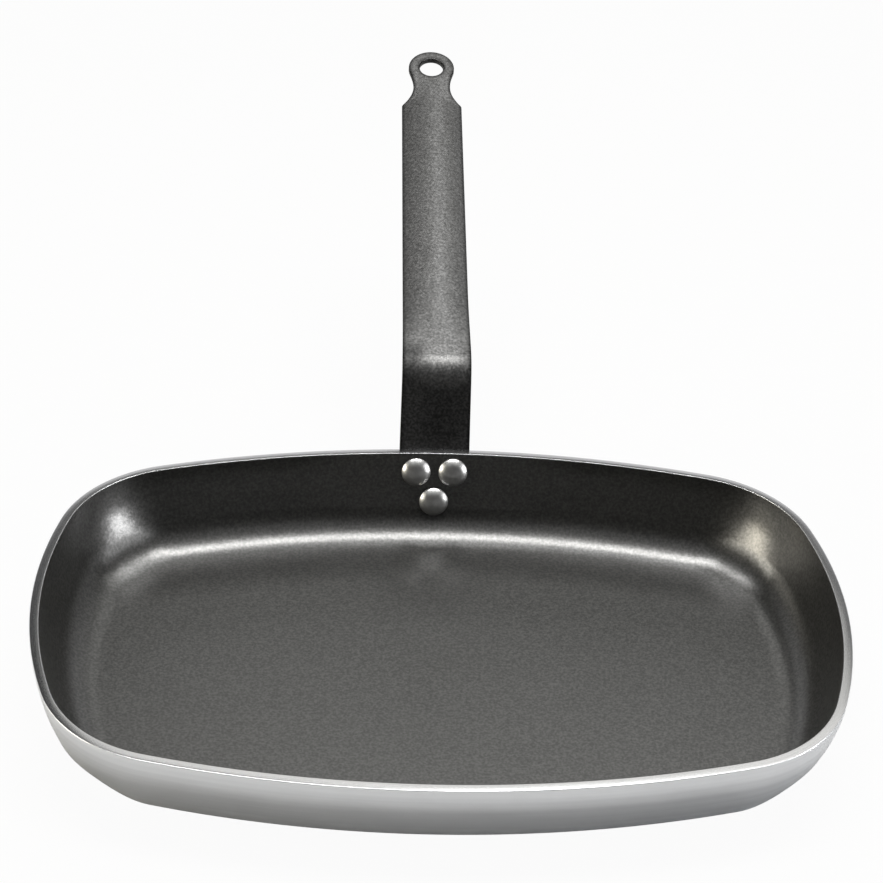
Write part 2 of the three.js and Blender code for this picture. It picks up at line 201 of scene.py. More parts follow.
def dish(name, section):
    """Closed skin of a section carried round the outline, with flat floors over both its ends."""
    rings = [
        [wall_point(direction, point.x, point.y) for direction in outline_directions]
        for point in section
    ]
    base_ring = rings[0]
    rings = floor_rings(base_ring)[::-1] + rings + floor_rings(rings[-1])
    count = len(outline_directions)
    mesh = bmesh.new()
    grain = mesh.loops.layers.uv.new("grain")
    rows = [[mesh.verts.new(point) for point in ring] for ring in rings]
    middles = [mesh.verts.new((0, 0, ring[0].z)) for ring in (rings[0], rings[-1])]
    around = [0.0]
    for side in range(count):
        around.append(around[-1] + (base_ring[(side + 1) % count] - base_ring[side]).length)
    upward = [0.0]
    for lower, upper in zip(rings, rings[1:]):
        upward.append(upward[-1] + (upper[0] - lower[0]).length)
    for row in range(len(rows) - 1):
        for side in range(count):
            following = (side + 1) % count
            face = mesh.faces.new((
                rows[row][side], rows[row][following], rows[row + 1][following], rows[row + 1][side],
            ))
            corners = ((side, row), (side + 1, row), (side + 1, row + 1), (side, row + 1))
            for loop, (u, v) in zip(face.loops, corners):
                loop[grain].uv = (around[u], upward[v])
    for side in range(count):
        following = (side + 1) % count
        mesh.faces.new((middles[0], rows[0][following], rows[0][side]))
        mesh.faces.new((middles[1], rows[-1][side], rows[-1][following]))
    return piece_from(mesh, name, DISH_HARD_EDGE)


class Nodes:
    """Short ways to add and join the nodes of a surface finish or of the room."""

    def __init__(self, tree):
        self.tree = tree

    def add(self, kind, **settings):
        """A node with its settings, and with numbers on its sockets."""
        node = self.tree.nodes.new(kind)
        for key, value in settings.items():
            if hasattr(node, key):
                setattr(node, key, value)
            else:
                node.inputs[key.replace("_", " ").title()].default_value = value
        return node

    def join(self, source, target):
        self.tree.links.new(source, target)

    def calculate(self, operation, *values, clamp=False):
        """The result of a sum on values, each of which is a number or the output of a node."""
        node = self.add("ShaderNodeMath", operation=operation, use_clamp=clamp)
        for value, socket in zip(values, node.inputs):
            if isinstance(value, bpy.types.NodeSocket):
                self.join(value, socket)
            else:
                socket.default_value = value
        return node.outputs["Value"]

    def ranged(self, source, start, end, low, high, smooth=False):
        """A value between start and end, carried to the range from low to high."""
        node = self.add("ShaderNodeMapRange", interpolation_type="SMOOTHSTEP" if smooth else "LINEAR")
        node.inputs["From Min"].default_value = start
        node.inputs["From Max"].default_value = end
        node.inputs["To Min"].default_value = low
        node.inputs["To Max"].default_value = high
        self.join(source, node.inputs["Value"])
        return node.outputs["Result"]

    def axes(self, place):
        """The outputs for X, Y and Z of a place."""
        node = self.add("ShaderNodeSeparateXYZ")
        self.join(place, node.inputs["Vector"])
        return node.outputs


class Finish(Nodes):
    """A new surface finish, with the patterns that its shader is made from."""

    def __init__(self, name):
        self.material = bpy.data.materials.new(name)
        self.material.use_nodes = True
        super().__init__(self.material.node_tree)
        self.shader = self.tree.nodes["Principled BSDF"]

    def give(self, socket, value):
        """A node's output, a number or a colour for one of the shader's sockets."""
        if isinstance(value, bpy.types.NodeSocket):
            self.join(value, self.shader.inputs[socket])
        else:
            self.shader.inputs[socket].default_value = value

    def object_place(self):
        """A surface point's place in metres, as a pattern needs it."""
        return self.add("ShaderNodeTexCoord").outputs["Object"]

    def mesh_place(self, layer):
        """A surface point's place in one of the mesh's own flat maps."""
        return self.add("ShaderNodeUVMap", uv_map=layer).outputs["UV"]

    def stretched(self, place, per_metre):
        node = self.add("ShaderNodeMapping")
        node.inputs["Scale"].default_value = per_metre
        self.join(place, node.inputs["Vector"])
        return node.outputs["Vector"]

    def noise(self, place, scale, detail, roughness):
        node = self.add("ShaderNodeTexNoise", scale=scale, detail=detail, roughness=roughness)
        self.join(place, node.inputs["Vector"])
        return node.outputs["Fac"]

    def ramp(self, source, *stops):
        """Colours over a value's range, given as pairs of place and colour."""
        node = self.add("ShaderNodeValToRGB")
        for step, (place, colour) in zip(node.color_ramp.elements, stops):
            step.position = place
            step.color = (*colour, 1)
        self.join(source, node.inputs["Fac"])
        return node.outputs["Color"]

    def bump(self, source, strength, distance):
        node = self.add("ShaderNodeBump", strength=strength, distance=distance)
        self.join(source, node.inputs["Height"])
        return node.outputs["Normal"]


# Most values of a noise pattern lie between these two.
NOISE_LOW = 0.3
NOISE_HIGH = 0.7
BRUSHED_LIGHT = (0.87, 0.885, 0.91)
BRUSHED_DARK = (0.79, 0.805, 0.83)
BRUSHED_ROUGHNESS = (0.24, 0.44)
HAIRLINES_PER_METRE = (18, 2600, 1)
HAIRLINE_STRENGTH = 0.12
HAIRLINE_DEPTH = 0.00012
BANDS_PER_METRE = (5, 260, 1)

brushed = Finish("brushed_aluminium")
wall_place = brushed.mesh_place("grain")
hairlines = brushed.stretched(wall_place, HAIRLINES_PER_METRE)
hairlines = brushed.noise(hairlines, scale=1.0, detail=4.0, roughness=0.65)
bands = brushed.stretched(wall_place, BANDS_PER_METRE)
bands = brushed.noise(bands, scale=1.0, detail=2.0, roughness=0.5)
brushed.give("Base Color", brushed.ramp(bands, (NOISE_LOW, BRUSHED_DARK), (NOISE_HIGH, BRUSHED_LIGHT)))
brushed.give("Roughness", brushed.ranged(hairlines, 0, 1, *BRUSHED_ROUGHNESS))
brushed.give("Normal", brushed.bump(hairlines, HAIRLINE_STRENGTH, HAIRLINE_DEPTH))
brushed.give("Metallic", 1)

TURNED_LIGHT = (0.74, 0.74, 0.75)
TURNED_DARK = (0.62, 0.62, 0.63)
TURNED_ROUGHNESS = (0.15, 0.22)
GROOVES_PER_METRE = (25, 4200, 1)
GROOVE_STRENGTH = 0.08
GROOVE_DEPTH = 0.0001
TURNED_FACING = 0.9

turned = Finish("turned_rim")
grooves = turned.stretched(turned.mesh_place("grain"), GROOVES_PER_METRE)
grooves = turned.noise(grooves, scale=1.0, detail=2.0, roughness=0.5)
turned.give("Base Color", turned.ramp(grooves, (NOISE_LOW, TURNED_DARK), (NOISE_HIGH, TURNED_LIGHT)))
turned.give("Roughness", turned.ranged(grooves, 0, 1, *TURNED_ROUGHNESS))
turned.give("Normal", turned.bump(grooves, GROOVE_STRENGTH, GROOVE_DEPTH))
turned.give("Metallic", 1)

outer_edge, inner_edge = base_edge(0), base_edge(SHEET_THICKNESS)
inner_corner = Vector((SHEET_THICKNESS / math.cos(WALL_LEAN), PAN_HEIGHT))
rim_drop = inner_corner.x / (1 / math.tan(RIM_SLOPE) + math.tan(WALL_LEAN))
outer_corner = Vector((rim_drop * math.tan(WALL_LEAN), PAN_HEIGHT - rim_drop))
outer_rim = rim_rounding(outer_corner, RIM_OUTER_ROUNDING, 1)
inner_rim = rim_rounding(inner_corner, RIM_INNER_ROUNDING, -1)
pan_body = dish(
    "pan_shell",
    outer_edge
    + wall_line(outer_edge[-1], outer_rim[0])
    + outer_rim
    + inner_rim
    + wall_line(inner_rim[-1], inner_edge[-1])
    + inner_edge[::-1],
)
pan_body.data.materials.append(brushed.material)
pan_body.data.materials.append(turned.material)
for face in pan_body.data.polygons:
    on_rim = face.center.z > PAN_HEIGHT / 2 and face.normal.z > TURNED_FACING
    face.material_index = 1 if on_rim else 0
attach(pan_body, "root")
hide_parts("pan_body")


# Non-stick lining. A sprayed and baked film over the whole inside, up to the rim's inner edge.
# Its charcoal undercoat has an olive cast and lies under a clear satin top coat, and both have
# the fine grain of the spray.
LINING_THICKNESS = 0.0003
CHARCOAL_DARK = (0.006, 0.006, 0.0054)
CHARCOAL_LIGHT = (0.016, 0.0158, 0.014)
CHARCOAL_RANGE = (0.44, 0.66)
UNDERCOAT_ROUGHNESS = (0.56, 0.62)
UNDERCOAT_IOR = 1.15
UNDERCOAT_TINT = (1.0, 0.995, 0.945, 1)
TOP_COAT_ROUGHNESS = (0.27, 0.33)
TOP_COAT_IOR = 2.15
TOP_COAT_THIN = (0.7, 0.7, 0.7)
TOP_COAT_FULL = (1, 1, 1)
TOP_COAT_RANGE = (0.35, 0.65)
GRAINS_PER_METRE = 950
SPRAY_GRAIN_TILT = 0.03


def grains(finish, place, tilt):
    """Normals of fine grains, each of which faces a little its own way."""
    cells = finish.add("ShaderNodeTexVoronoi", scale=GRAINS_PER_METRE)
    finish.join(place, cells.inputs["Vector"])
    centred = finish.add("ShaderNodeVectorMath", operation="SUBTRACT")
    finish.join(cells.outputs["Color"], centred.inputs[0])
    centred.inputs[1].default_value = (0.5, 0.5, 0.5)
    surface = finish.add("ShaderNodeNewGeometry")
    tilted = finish.add("ShaderNodeVectorMath", operation="MULTIPLY_ADD")
    finish.join(centred.outputs["Vector"], tilted.inputs[0])
    tilted.inputs[1].default_value = (tilt, tilt, tilt)
    finish.join(surface.outputs["Normal"], tilted.inputs[2])
    facing = finish.add("ShaderNodeVectorMath", operation="NORMALIZE")
    finish.join(tilted.outputs["Vector"], facing.inputs[0])
    return facing.outputs["Vector"]


sprayed = Finish("sprayed_nonstick")
spray_place = sprayed.object_place()
spray_grain = sprayed.noise(spray_place, scale=760.0, detail=2.0, roughness=0.6)
spray_cloud = sprayed.noise(spray_place, scale=28.0, detail=2.0, roughness=0.5)
spray_normal = grains(sprayed, spray_place, SPRAY_GRAIN_TILT)
charcoal = sprayed.ramp(spray_grain, *zip(CHARCOAL_RANGE, (CHARCOAL_DARK, CHARCOAL_LIGHT)))
top_coat = sprayed.ramp(spray_grain, *zip(TOP_COAT_RANGE, (TOP_COAT_THIN, TOP_COAT_FULL)))
sprayed.give("Base Color", charcoal)
sprayed.give("Roughness", sprayed.ranged(spray_cloud, 0, 1, *UNDERCOAT_ROUGHNESS))
sprayed.give("IOR", UNDERCOAT_IOR)
sprayed.give("Specular Tint", UNDERCOAT_TINT)
sprayed.give("Normal", spray_normal)
sprayed.give("Coat Weight", top_coat)
sprayed.give("Coat Roughness", sprayed.ranged(spray_cloud, 0, 1, *TOP_COAT_ROUGHNESS))
sprayed.give("Coat IOR", TOP_COAT_IOR)
sprayed.give("Coat Normal", spray_normal)

lining_depth = SHEET_THICKNESS + LINING_THICKNESS
lining_edge = base_edge(lining_depth)
sheet_rim = Vector((SHEET_THICKNESS / math.cos(WALL_LEAN), PAN_HEIGHT - RIM_INNER_ROUNDING))
lining_rim = Vector((lining_depth / math.cos(WALL_LEAN), PAN_HEIGHT - RIM_INNER_ROUNDING))
nonstick_coating = dish(
    "nonstick_lining",
    inner_edge
    + wall_line(inner_edge[-1], sheet_rim)
    + [sheet_rim, lining_rim]
    + wall_line(lining_rim, lining_edge[-1])
    + lining_edge[::-1],
)
nonstick_coating.data.materials.append(sprayed.material)
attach(nonstick_coating, "root")
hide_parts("nonstick_coating")


# Handle. A steel strip 3.2 mm thick, cut with rounded shoulders, a neck and a hanging eye, bent
# over a former, pressed into an arch along the grip and coated with black baked powder. The powder
# shines along the grip's middle, and is dull at the foot, on the bend's flanks and along the edges.
STRIP_THICKNESS = 0.0032
STRIP_EDGE_ROUNDING = 0.0007
FOOT_WIDTH = 0.0348
BEND_RISE = 0.0345
BEND_RADIUS = 0.015
GRIP_SLOPE = math.radians(16)
GRIP_TO_EYE = 0.2036
GRIP_ARCH = 0.0044
ARCH_LEAD = 0.003
ARCH_RUN_IN = 0.045
SHOULDER_WIDTH = 0.0322
SHOULDER_ROUNDING = 0.0018
SHOULDER_HOLLOW_RADIUS = 0.013
NECK_WIDTH = 0.0197
EYE_HOLLOW_RADIUS = 0.032
EYE_RADIUS = 0.0121
EYE_HOLE_RADIUS = 0.0063
SEAT_GAP = 0.0003
RIVET_SPACING = 0.0185
RIVET_DROP = 0.0107
RIVET_ROW_STEP = 0.0152

bend_turn = math.pi / 2 - WALL_LEAN - GRIP_SLOPE
bend_end = BEND_RISE + BEND_RADIUS * bend_turn
foot_half = FOOT_WIDTH / 2
foot_centre = -(RIVET_DROP + RIVET_ROW_STEP / 3)
eye_at = bend_end + GRIP_TO_EYE
eye_hollow_aside = NECK_WIDTH / 2 + EYE_HOLLOW_RADIUS
eye_arcs = EYE_RADIUS + EYE_HOLLOW_RADIUS
neck_at = eye_at - math.sqrt(eye_arcs**2 - eye_hollow_aside**2)
eye_start = neck_at + (eye_at - neck_at) * EYE_HOLLOW_RADIUS / eye_arcs
shoulder_half = SHOULDER_WIDTH / 2
rounding_aside = shoulder_half - SHOULDER_ROUNDING
hollow_aside = NECK_WIDTH / 2 + SHOULDER_HOLLOW_RADIUS
shoulder_arcs = SHOULDER_ROUNDING + SHOULDER_HOLLOW_RADIUS
shoulder_at = neck_at - math.sqrt(shoulder_arcs**2 - (hollow_aside - rounding_aside) ** 2)
hollow_start = shoulder_at + (neck_at - shoulder_at) * SHOULDER_ROUNDING / shoulder_arcs


def strip_half_width(distance):
    """Half the strip's width at a distance along it from the rim."""
    if distance < foot_centre:
        return math.sqrt(max(foot_half**2 - (foot_centre - distance) ** 2, 0))
    if distance < shoulder_at:
        share = (distance - foot_centre) / (shoulder_at - foot_centre)
        return foot_half + (shoulder_half - foot_half) * share
    if distance < hollow_start:
        return rounding_aside + math.sqrt(SHOULDER_ROUNDING**2 - (distance - shoulder_at) ** 2)
    if distance < neck_at:
        return hollow_aside - math.sqrt(SHOULDER_HOLLOW_RADIUS**2 - (distance - neck_at) ** 2)
    if distance < eye_start:
        return eye_hollow_aside - math.sqrt(EYE_HOLLOW_RADIUS**2 - (distance - neck_at) ** 2)
    return math.sqrt(max(EYE_RADIUS**2 - (distance - eye_at) ** 2, 0))


def strip_curvature(distance):
    """Curvature across the strip: hollow at the foot, arched along the grip, flat elsewhere."""
    seated = -(1 - eased(distance, 0, BEND_RISE)) / LONG_SIDE_RADIUS
    arched = eased(distance, bend_end - ARCH_LEAD, bend_end + ARCH_RUN_IN)
    released = 1 - eased(distance, shoulder_at, eye_start)
    return seated + arched * released * 2 * GRIP_ARCH / shoulder_half**2


wall_out = Vector((0, math.cos(WALL_LEAN), -math.sin(WALL_LEAN)))
wall_up = Vector((0, math.sin(WALL_LEAN), math.cos(WALL_LEAN)))
strip_start = Vector((0, PAN_WIDTH / 2, PAN_HEIGHT)) + SEAT_GAP * wall_out
bend_centre = strip_start + BEND_RISE * wall_up + BEND_RADIUS * wall_out


def strip_point(distance, aside, depth):
    """A point of the bent strip, from its place in the flat blank and its depth under the face."""
    turn = min(max((distance - BEND_RISE) / BEND_RADIUS, 0), bend_turn)
    roll = Matrix.Rotation(-turn, 3, "X")
    normal = roll @ -wall_out
    along = roll @ wall_up
    straight = distance - min(max(distance, BEND_RISE), bend_end)
    middle = bend_centre + BEND_RADIUS * normal + straight * along
    slope = strip_curvature(distance) * aside
    length = math.hypot(1, slope)
    sideways = aside - depth * slope / length
    raised = -slope * aside / 2 - depth / length
    return middle + Vector((sideways, 0, 0)) + raised * normal


def arc_of_edge(along, aside, radius, angles):
    """Points on an arc of the blank's edge, each with the way out of the strip.

    A hollow has a minus radius.
    """
    ways = [Vector((math.sin(angle), math.cos(angle))) for angle in angles]
    return [(Vector((along, aside)) + radius * way, way) for way in ways]


def mirrored(edge_line):
    """The same edge on the strip's other side, run through backwards."""
    other_side = Vector((1, -1))
    return [(point * other_side, way * other_side) for point, way in reversed(edge_line)]


def inset_place(edge_point, inset):
    """The place in the blank that lies inside a point of its edge."""
    point, way_out = edge_point
    return tuple(point - inset * way_out)


ACROSS_STEPS = 20
FOOT_ANGLES = (4, 8, 14, 21, 29, 38, 48, 58, 68, 79)
FOOT_STEPS = 18
BEND_STEPS = 24
GRIP_STEPS = 60
ROUNDING_STEPS = 6
HOLLOW_STEPS = 14
EYE_SIDE_STEPS = 12
EYE_STEPS = 64
EYE_RING_SHARES = (0.86, 0.7, 0.5, 0.3, 0.14)
EDGE_STEPS = 4
SAME_PLACE_DIGITS = 7
STRIP_HARD_EDGE = math.radians(50)

shoulder_turn = math.asin((neck_at - shoulder_at) / shoulder_arcs)
shoulder_angles = spread(0, shoulder_turn, ROUNDING_STEPS)[:-1]
hollow_angles = spread(shoulder_turn, 0, HOLLOW_STEPS)
eye_turn = math.asin((eye_at - neck_at) / eye_arcs)
eye_side_angles = spread(0, -eye_turn, EYE_SIDE_STEPS)[1:]
eye_angles = spread(-eye_turn, math.pi + eye_turn, EYE_STEPS)[1:-1]
straight_rows = spread(foot_centre, BEND_RISE, FOOT_STEPS)[:-1]
straight_rows += spread(BEND_RISE, bend_end, BEND_STEPS)[:-1]
straight_rows += spread(bend_end, shoulder_at, GRIP_STEPS)[:-1]

side_edge = arc_of_edge(foot_centre, 0, foot_half, [math.radians(angle - 90) for angle in FOOT_ANGLES])
side_edge += [(Vector((row, strip_half_width(row))), Vector((0, 1))) for row in straight_rows]
side_edge += arc_of_edge(shoulder_at, rounding_aside, SHOULDER_ROUNDING, shoulder_angles)
side_edge += arc_of_edge(neck_at, hollow_aside, -SHOULDER_HOLLOW_RADIUS, hollow_angles)
eye_side = arc_of_edge(neck_at, eye_hollow_aside, -EYE_HOLLOW_RADIUS, eye_side_angles)
eye_edge = eye_side + arc_of_edge(eye_at, 0, EYE_RADIUS, eye_angles) + mirrored(eye_side)
tip_point, tip_way = side_edge[0]
foot_tip = [
    (Vector((tip_point.x, share * tip_point.y)), Vector((tip_way.x, share * tip_way.y)))
    for share in spread(-1, 1, ACROSS_STEPS)[1:-1]
]
strip_edge = side_edge + eye_edge + mirrored(side_edge) + foot_tip

blank_rows = []
for edge_point in side_edge:
    distance, half_width = inset_place(edge_point, STRIP_EDGE_ROUNDING)
    blank_rows.append([(distance, share * half_width) for share in spread(-1, 1, ACROSS_STEPS)])
blank_quads = []
for lower, upper in zip(blank_rows, blank_rows[1:]):
    for side in range(ACROSS_STEPS):
        blank_quads.append((lower[side], lower[side + 1], upper[side + 1], upper[side]))
eye_centre = Vector((eye_at, 0))
eye_ring = blank_rows[-1] + [inset_place(edge_point, STRIP_EDGE_ROUNDING) for edge_point in eye_edge]
eye_ways = [(Vector(place) - eye_centre).normalized() for place in eye_ring]
hole_edge = [(eye_centre + EYE_HOLE_RADIUS * way, -way) for way in eye_ways]
hole_ring = [inset_place(edge_point, STRIP_EDGE_ROUNDING) for edge_point in hole_edge]
rings_between = [
    [tuple(Vector(inner).lerp(Vector(outer), share)) for inner, outer in zip(hole_ring, eye_ring)]
    for share in EYE_RING_SHARES
]
eye_rings = [eye_ring] + rings_between + [hole_ring]
for outer, inner in zip(eye_rings, eye_rings[1:]):
    for side in range(len(eye_ring)):
        following = (side + 1) % len(eye_ring)
        blank_quads.append((outer[side], outer[following], inner[following], inner[side]))


def edge_distance(distance, aside):
    """How far a place in the blank lies from the nearest cut edge."""
    from_eye = math.hypot(distance - eye_at, aside)
    outer = EYE_RADIUS - from_eye if distance > eye_start else strip_half_width(distance) - abs(aside)
    return min(outer, from_eye - EYE_HOLE_RADIUS)


strip = bmesh.new()
blank = strip.loops.layers.uv.new("blank")
from_edge = strip.loops.layers.uv.new("from_edge")
strip_vertices = {}


def strip_vertex(place, depth):
    """The vertex at a place in the blank and a depth, made once."""
    key = (round(place[0], SAME_PLACE_DIGITS), round(place[1], SAME_PLACE_DIGITS), depth)
    if key not in strip_vertices:
        strip_vertices[key] = strip.verts.new(strip_point(place[0], place[1], depth))
    return strip_vertices[key]


def strip_face(corners):
    """A face of the strip, whose corners are places in the blank, depths and edge distances."""
    face = strip.faces.new([strip_vertex(place, depth) for place, depth, _ in corners])
    for loop, (place, _, edge_gap) in zip(face.loops, corners):
        loop[blank].uv = place
        loop[from_edge].uv = (edge_gap, 0)


for depth in (0, STRIP_THICKNESS):
    for quad in blank_quads:
        strip_face([(place, depth, edge_distance(*place)) for place in quad])
edge_profile = [
    (STRIP_EDGE_ROUNDING * (1 - math.sin(turn)), STRIP_EDGE_ROUNDING * (1 - math.cos(turn)))
    for turn in spread(0, math.pi / 2, EDGE_STEPS)
]
edge_profile += [(inset, STRIP_THICKNESS - depth) for inset, depth in reversed(edge_profile)]
for edge_line in (strip_edge, hole_edge):
    for (inset, depth), (next_inset, next_depth) in zip(edge_profile, edge_profile[1:]):
        for here, there in zip(edge_line, edge_line[1:] + edge_line[:1]):
            strip_face([
                (inset_place(here, inset), depth, inset),
                (inset_place(there, inset), depth, inset),
                (inset_place(there, next_inset), next_depth, next_inset),
                (inset_place(here, next_inset), next_depth, next_inset),
            ])
bmesh.ops.recalc_face_normals(strip, faces=strip.faces)
handle = piece_from(strip, "strip_handle", STRIP_HARD_EDGE)

POWDER_DARK = (0.002, 0.002, 0.002)
POWDER_LIGHT = (0.013, 0.013, 0.0135)
POWDER_RANGE = (0.45, 0.7)
POWDER_IOR = 2.05
POWDER_GRAIN_TILT = 0.09
POWDER_ROUGHNESS = (0.33, 0.40)
FLANK_ROUGHNESS = 0.13
BEND_ROUGHNESS = 0.07
STREAK_ASIDE = 0.0036
STREAK_HALF = 0.004
FLANK_HALF = 0.0165
FOOT_FADE_ABOVE = 0.002
FOOT_FADE_BELOW = 0.006
BEND_FADE = 0.012
EDGE_FADE = 0.0024
STREAK_SHINE = 0.55
DULL_SHINE = 0.2
EDGE_SHINE = 0.2
GRAIN_SHINE = (0.7, 1.3)

powder = Finish("black_baked_powder")
powder_place = powder.object_place()
powder_grain = powder.noise(powder_place, scale=820.0, detail=1.0, roughness=0.5)
powder_cloud = powder.noise(powder_place, scale=300.0, detail=3.0, roughness=0.6)
along_strip, across_strip, _ = powder.axes(powder.mesh_place("blank"))
from_streak = powder.calculate("SUBTRACT", across_strip, STREAK_ASIDE)
from_streak = powder.calculate("ABSOLUTE", from_streak)
flank = powder.ranged(from_streak, STREAK_HALF, FLANK_HALF, 0, 1, smooth=True)
foot_top = BEND_RISE + FOOT_FADE_ABOVE
foot_low = BEND_RISE - FOOT_FADE_BELOW
foot = powder.ranged(along_strip, foot_top, foot_low, 0, 1, smooth=True)
bend = powder.ranged(along_strip, bend_end + BEND_FADE, bend_end, 0, 1, smooth=True)
grip_roughness = powder.ranged(powder_cloud, 0, 1, *POWDER_ROUGHNESS)
grip_roughness = powder.calculate("MULTIPLY_ADD", flank, FLANK_ROUGHNESS, grip_roughness)
dull = powder.calculate("MULTIPLY_ADD", flank, bend, foot, clamp=True)
edge_gap, _, _ = powder.axes(powder.mesh_place("from_edge"))
edge_shine = powder.ranged(edge_gap, 0, EDGE_FADE, EDGE_SHINE, 1, smooth=True)
face_shine = powder.ranged(dull, 0, 1, STREAK_SHINE, DULL_SHINE)
face_shine = powder.calculate("MULTIPLY", face_shine, edge_shine)
grain_shine = powder.ranged(powder_grain, NOISE_LOW, NOISE_HIGH, *GRAIN_SHINE)
black = powder.ramp(powder_grain, *zip(POWDER_RANGE, (POWDER_DARK, POWDER_LIGHT)))
powder.give("Base Color", black)
powder.give("Roughness", powder.calculate("MULTIPLY_ADD", bend, BEND_ROUGHNESS, grip_roughness))
powder.give("Specular IOR Level", powder.calculate("MULTIPLY", face_shine, grain_shine))
powder.give("IOR", POWDER_IOR)
powder.give("Normal", grains(powder, powder_place, POWDER_GRAIN_TILT))
handle.data.materials.append(powder.material)
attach(handle, "root")
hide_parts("handle")


# Rivets. Three solid aluminium rivets through the strip, the sheet and the lining. Inside the pan
# each has a polished head, nearly flat with a round shoulder, and outside a tail closed by pressing.
SHANK_RADIUS = 0.003
HEAD_RADIUS = 0.0072
HEAD_HEIGHT = 0.0034
CROWN_RADIUS = 0.0034
CROWN_ANGLE = math.radians(13)
SHOULDER_ANGLE = math.radians(47)
TAIL_RADIUS = 0.0055
TAIL_HEIGHT = 0.0026
TAIL_SQUARENESS = 0.8
CROWN_STEPS = 6
SHOULDER_STEPS = 12
TAIL_STEPS = 16
RIVET_FACETS = 56
ON_AXIS = 1e-7
RIVET_HARD_EDGE = math.radians(50)


def lining_rise(drop):
    """How far the lining's base edge stands in front of the wall's plane, at a drop from the rim."""
    straight = (PAN_HEIGHT - BASE_EDGE_RADIUS * (1 - math.sin(WALL_LEAN))) / math.cos(WALL_LEAN)
    radius = BASE_EDGE_RADIUS - lining_depth
    past = max(drop - straight, 0)
    return radius - math.sqrt(radius**2 - past**2)


def cap(seat):
    """Profile of a rivet's head, from its crown: nearly flat, then a round shoulder to the edge."""
    crown = CROWN_RADIUS / math.sin(CROWN_ANGLE)
    shoulder = (HEAD_RADIUS - CROWN_RADIUS) / (math.sin(SHOULDER_ANGLE) - math.sin(CROWN_ANGLE))
    top = seat - HEAD_HEIGHT
    points = [
        (crown * math.sin(turn), top + crown * (1 - math.cos(turn)))
        for turn in spread(0, CROWN_ANGLE, CROWN_STEPS)
    ]
    ring, fall = points[-1]
    points += [
        (
            ring + shoulder * (math.sin(turn) - math.sin(CROWN_ANGLE)),
            fall + shoulder * (math.cos(CROWN_ANGLE) - math.cos(turn)),
        )
        for turn in spread(CROWN_ANGLE, SHOULDER_ANGLE, SHOULDER_STEPS)[1:]
    ]
    return points + [(HEAD_RADIUS, seat)]


def pressed_tail(seat):
    """Profile of a rivet's tail, from its crown, which the press left flat in the middle."""
    return [
        (
            TAIL_RADIUS * math.sin(turn) ** TAIL_SQUARENESS,
            seat + TAIL_HEIGHT * max(math.cos(turn), 0) ** TAIL_SQUARENESS,
        )
        for turn in spread(0, math.pi / 2, TAIL_STEPS)
    ]


def rivet(name, sideways, drop):
    """One rivet, turned about the axis that points out of the wall."""
    head_seat = -(lining_depth + SEAT_GAP + lining_rise(drop + HEAD_RADIUS))
    tail_seat = SEAT_GAP + STRIP_THICKNESS + SEAT_GAP
    profile = cap(head_seat)
    profile += [(SHANK_RADIUS, head_seat), (SHANK_RADIUS, tail_seat)]
    profile += reversed(pressed_tail(tail_seat))
    turn = math.asin(sideways / LONG_SIDE_RADIUS)
    seat = Matrix.Translation(outline_point(math.pi / 2 - turn, 0, PAN_HEIGHT))
    seat = seat @ Matrix.Rotation(-turn, 4, "Z") @ Matrix.Rotation(-WALL_LEAN, 4, "X")
    mesh = bmesh.new()
    rows = []
    for radius, out in profile:
        if radius < ON_AXIS:
            rows.append([mesh.verts.new(seat @ Vector((0, out, -drop)))])
            continue
        rows.append([
            mesh.verts.new(seat @ Vector((radius * math.cos(angle), out, radius * math.sin(angle) - drop)))
            for angle in spread(0, 2 * math.pi, RIVET_FACETS)[:-1]
        ])
    for inner, outer in zip(rows, rows[1:]):
        for side in range(RIVET_FACETS):
            following = (side + 1) % RIVET_FACETS
            corners = [inner[side % len(inner)], inner[following % len(inner)]]
            corners += [outer[following % len(outer)], outer[side % len(outer)]]
            mesh.faces.new(dict.fromkeys(corners))
    bmesh.ops.recalc_face_normals(mesh, faces=mesh.faces)
    return piece_from(mesh, name, RIVET_HARD_EDGE)


RIVET_POLISH_LIGHT = (0.72, 0.72, 0.715)
RIVET_POLISH_DARK = (0.60, 0.60, 0.60)
RIVET_ROUGHNESS = (0.32, 0.40)
RIVET_WEAR_STRENGTH = 0.1
RIVET_WEAR_DEPTH = 0.0003

polished = Finish("polished_rivet")
wear = polished.noise(polished.object_place(), scale=420.0, detail=3.0, roughness=0.6)
polish = polished.ramp(wear, (NOISE_LOW, RIVET_POLISH_DARK), (NOISE_HIGH, RIVET_POLISH_LIGHT))
polished.give("Base Color", polish)
polished.give("Roughness", polished.ranged(wear, 0, 1, *RIVET_ROUGHNESS))
polished.give("Normal", polished.bump(wear, RIVET_WEAR_STRENGTH, RIVET_WEAR_DEPTH))
polished.give("Metallic", 1)

for node, sideways, drop in (
    ("rivet_left", -RIVET_SPACING / 2, RIVET_DROP),
    ("rivet_right", RIVET_SPACING / 2, RIVET_DROP),
    ("rivet_lower", 0, RIVET_DROP + RIVET_ROW_STEP),
):
    button_rivet = rivet("turned_" + node, sideways, drop)
    button_rivet.data.materials.append(polished.material)
    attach(button_rivet, "root")
    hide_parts(node)


# Studio floor. A wide sheet of matt pale board under the pan. The camera sees it almost white, with
# a trace of the pan's shadow, and metal sees it nearly as the lamps light it.
FLOOR_HALF = 6.0
FLOOR_WHITE = (0.54, 0.54, 0.54)
FLOOR_SHADE = (0.51, 0.51, 0.51)
FLOOR_ROUGHNESS = 0.9
FLOOR_SHINE = 0.1
FLOOR_WHITE_SEEN = 0.95
FLOOR_WHITE_MIRRORED = 0.03


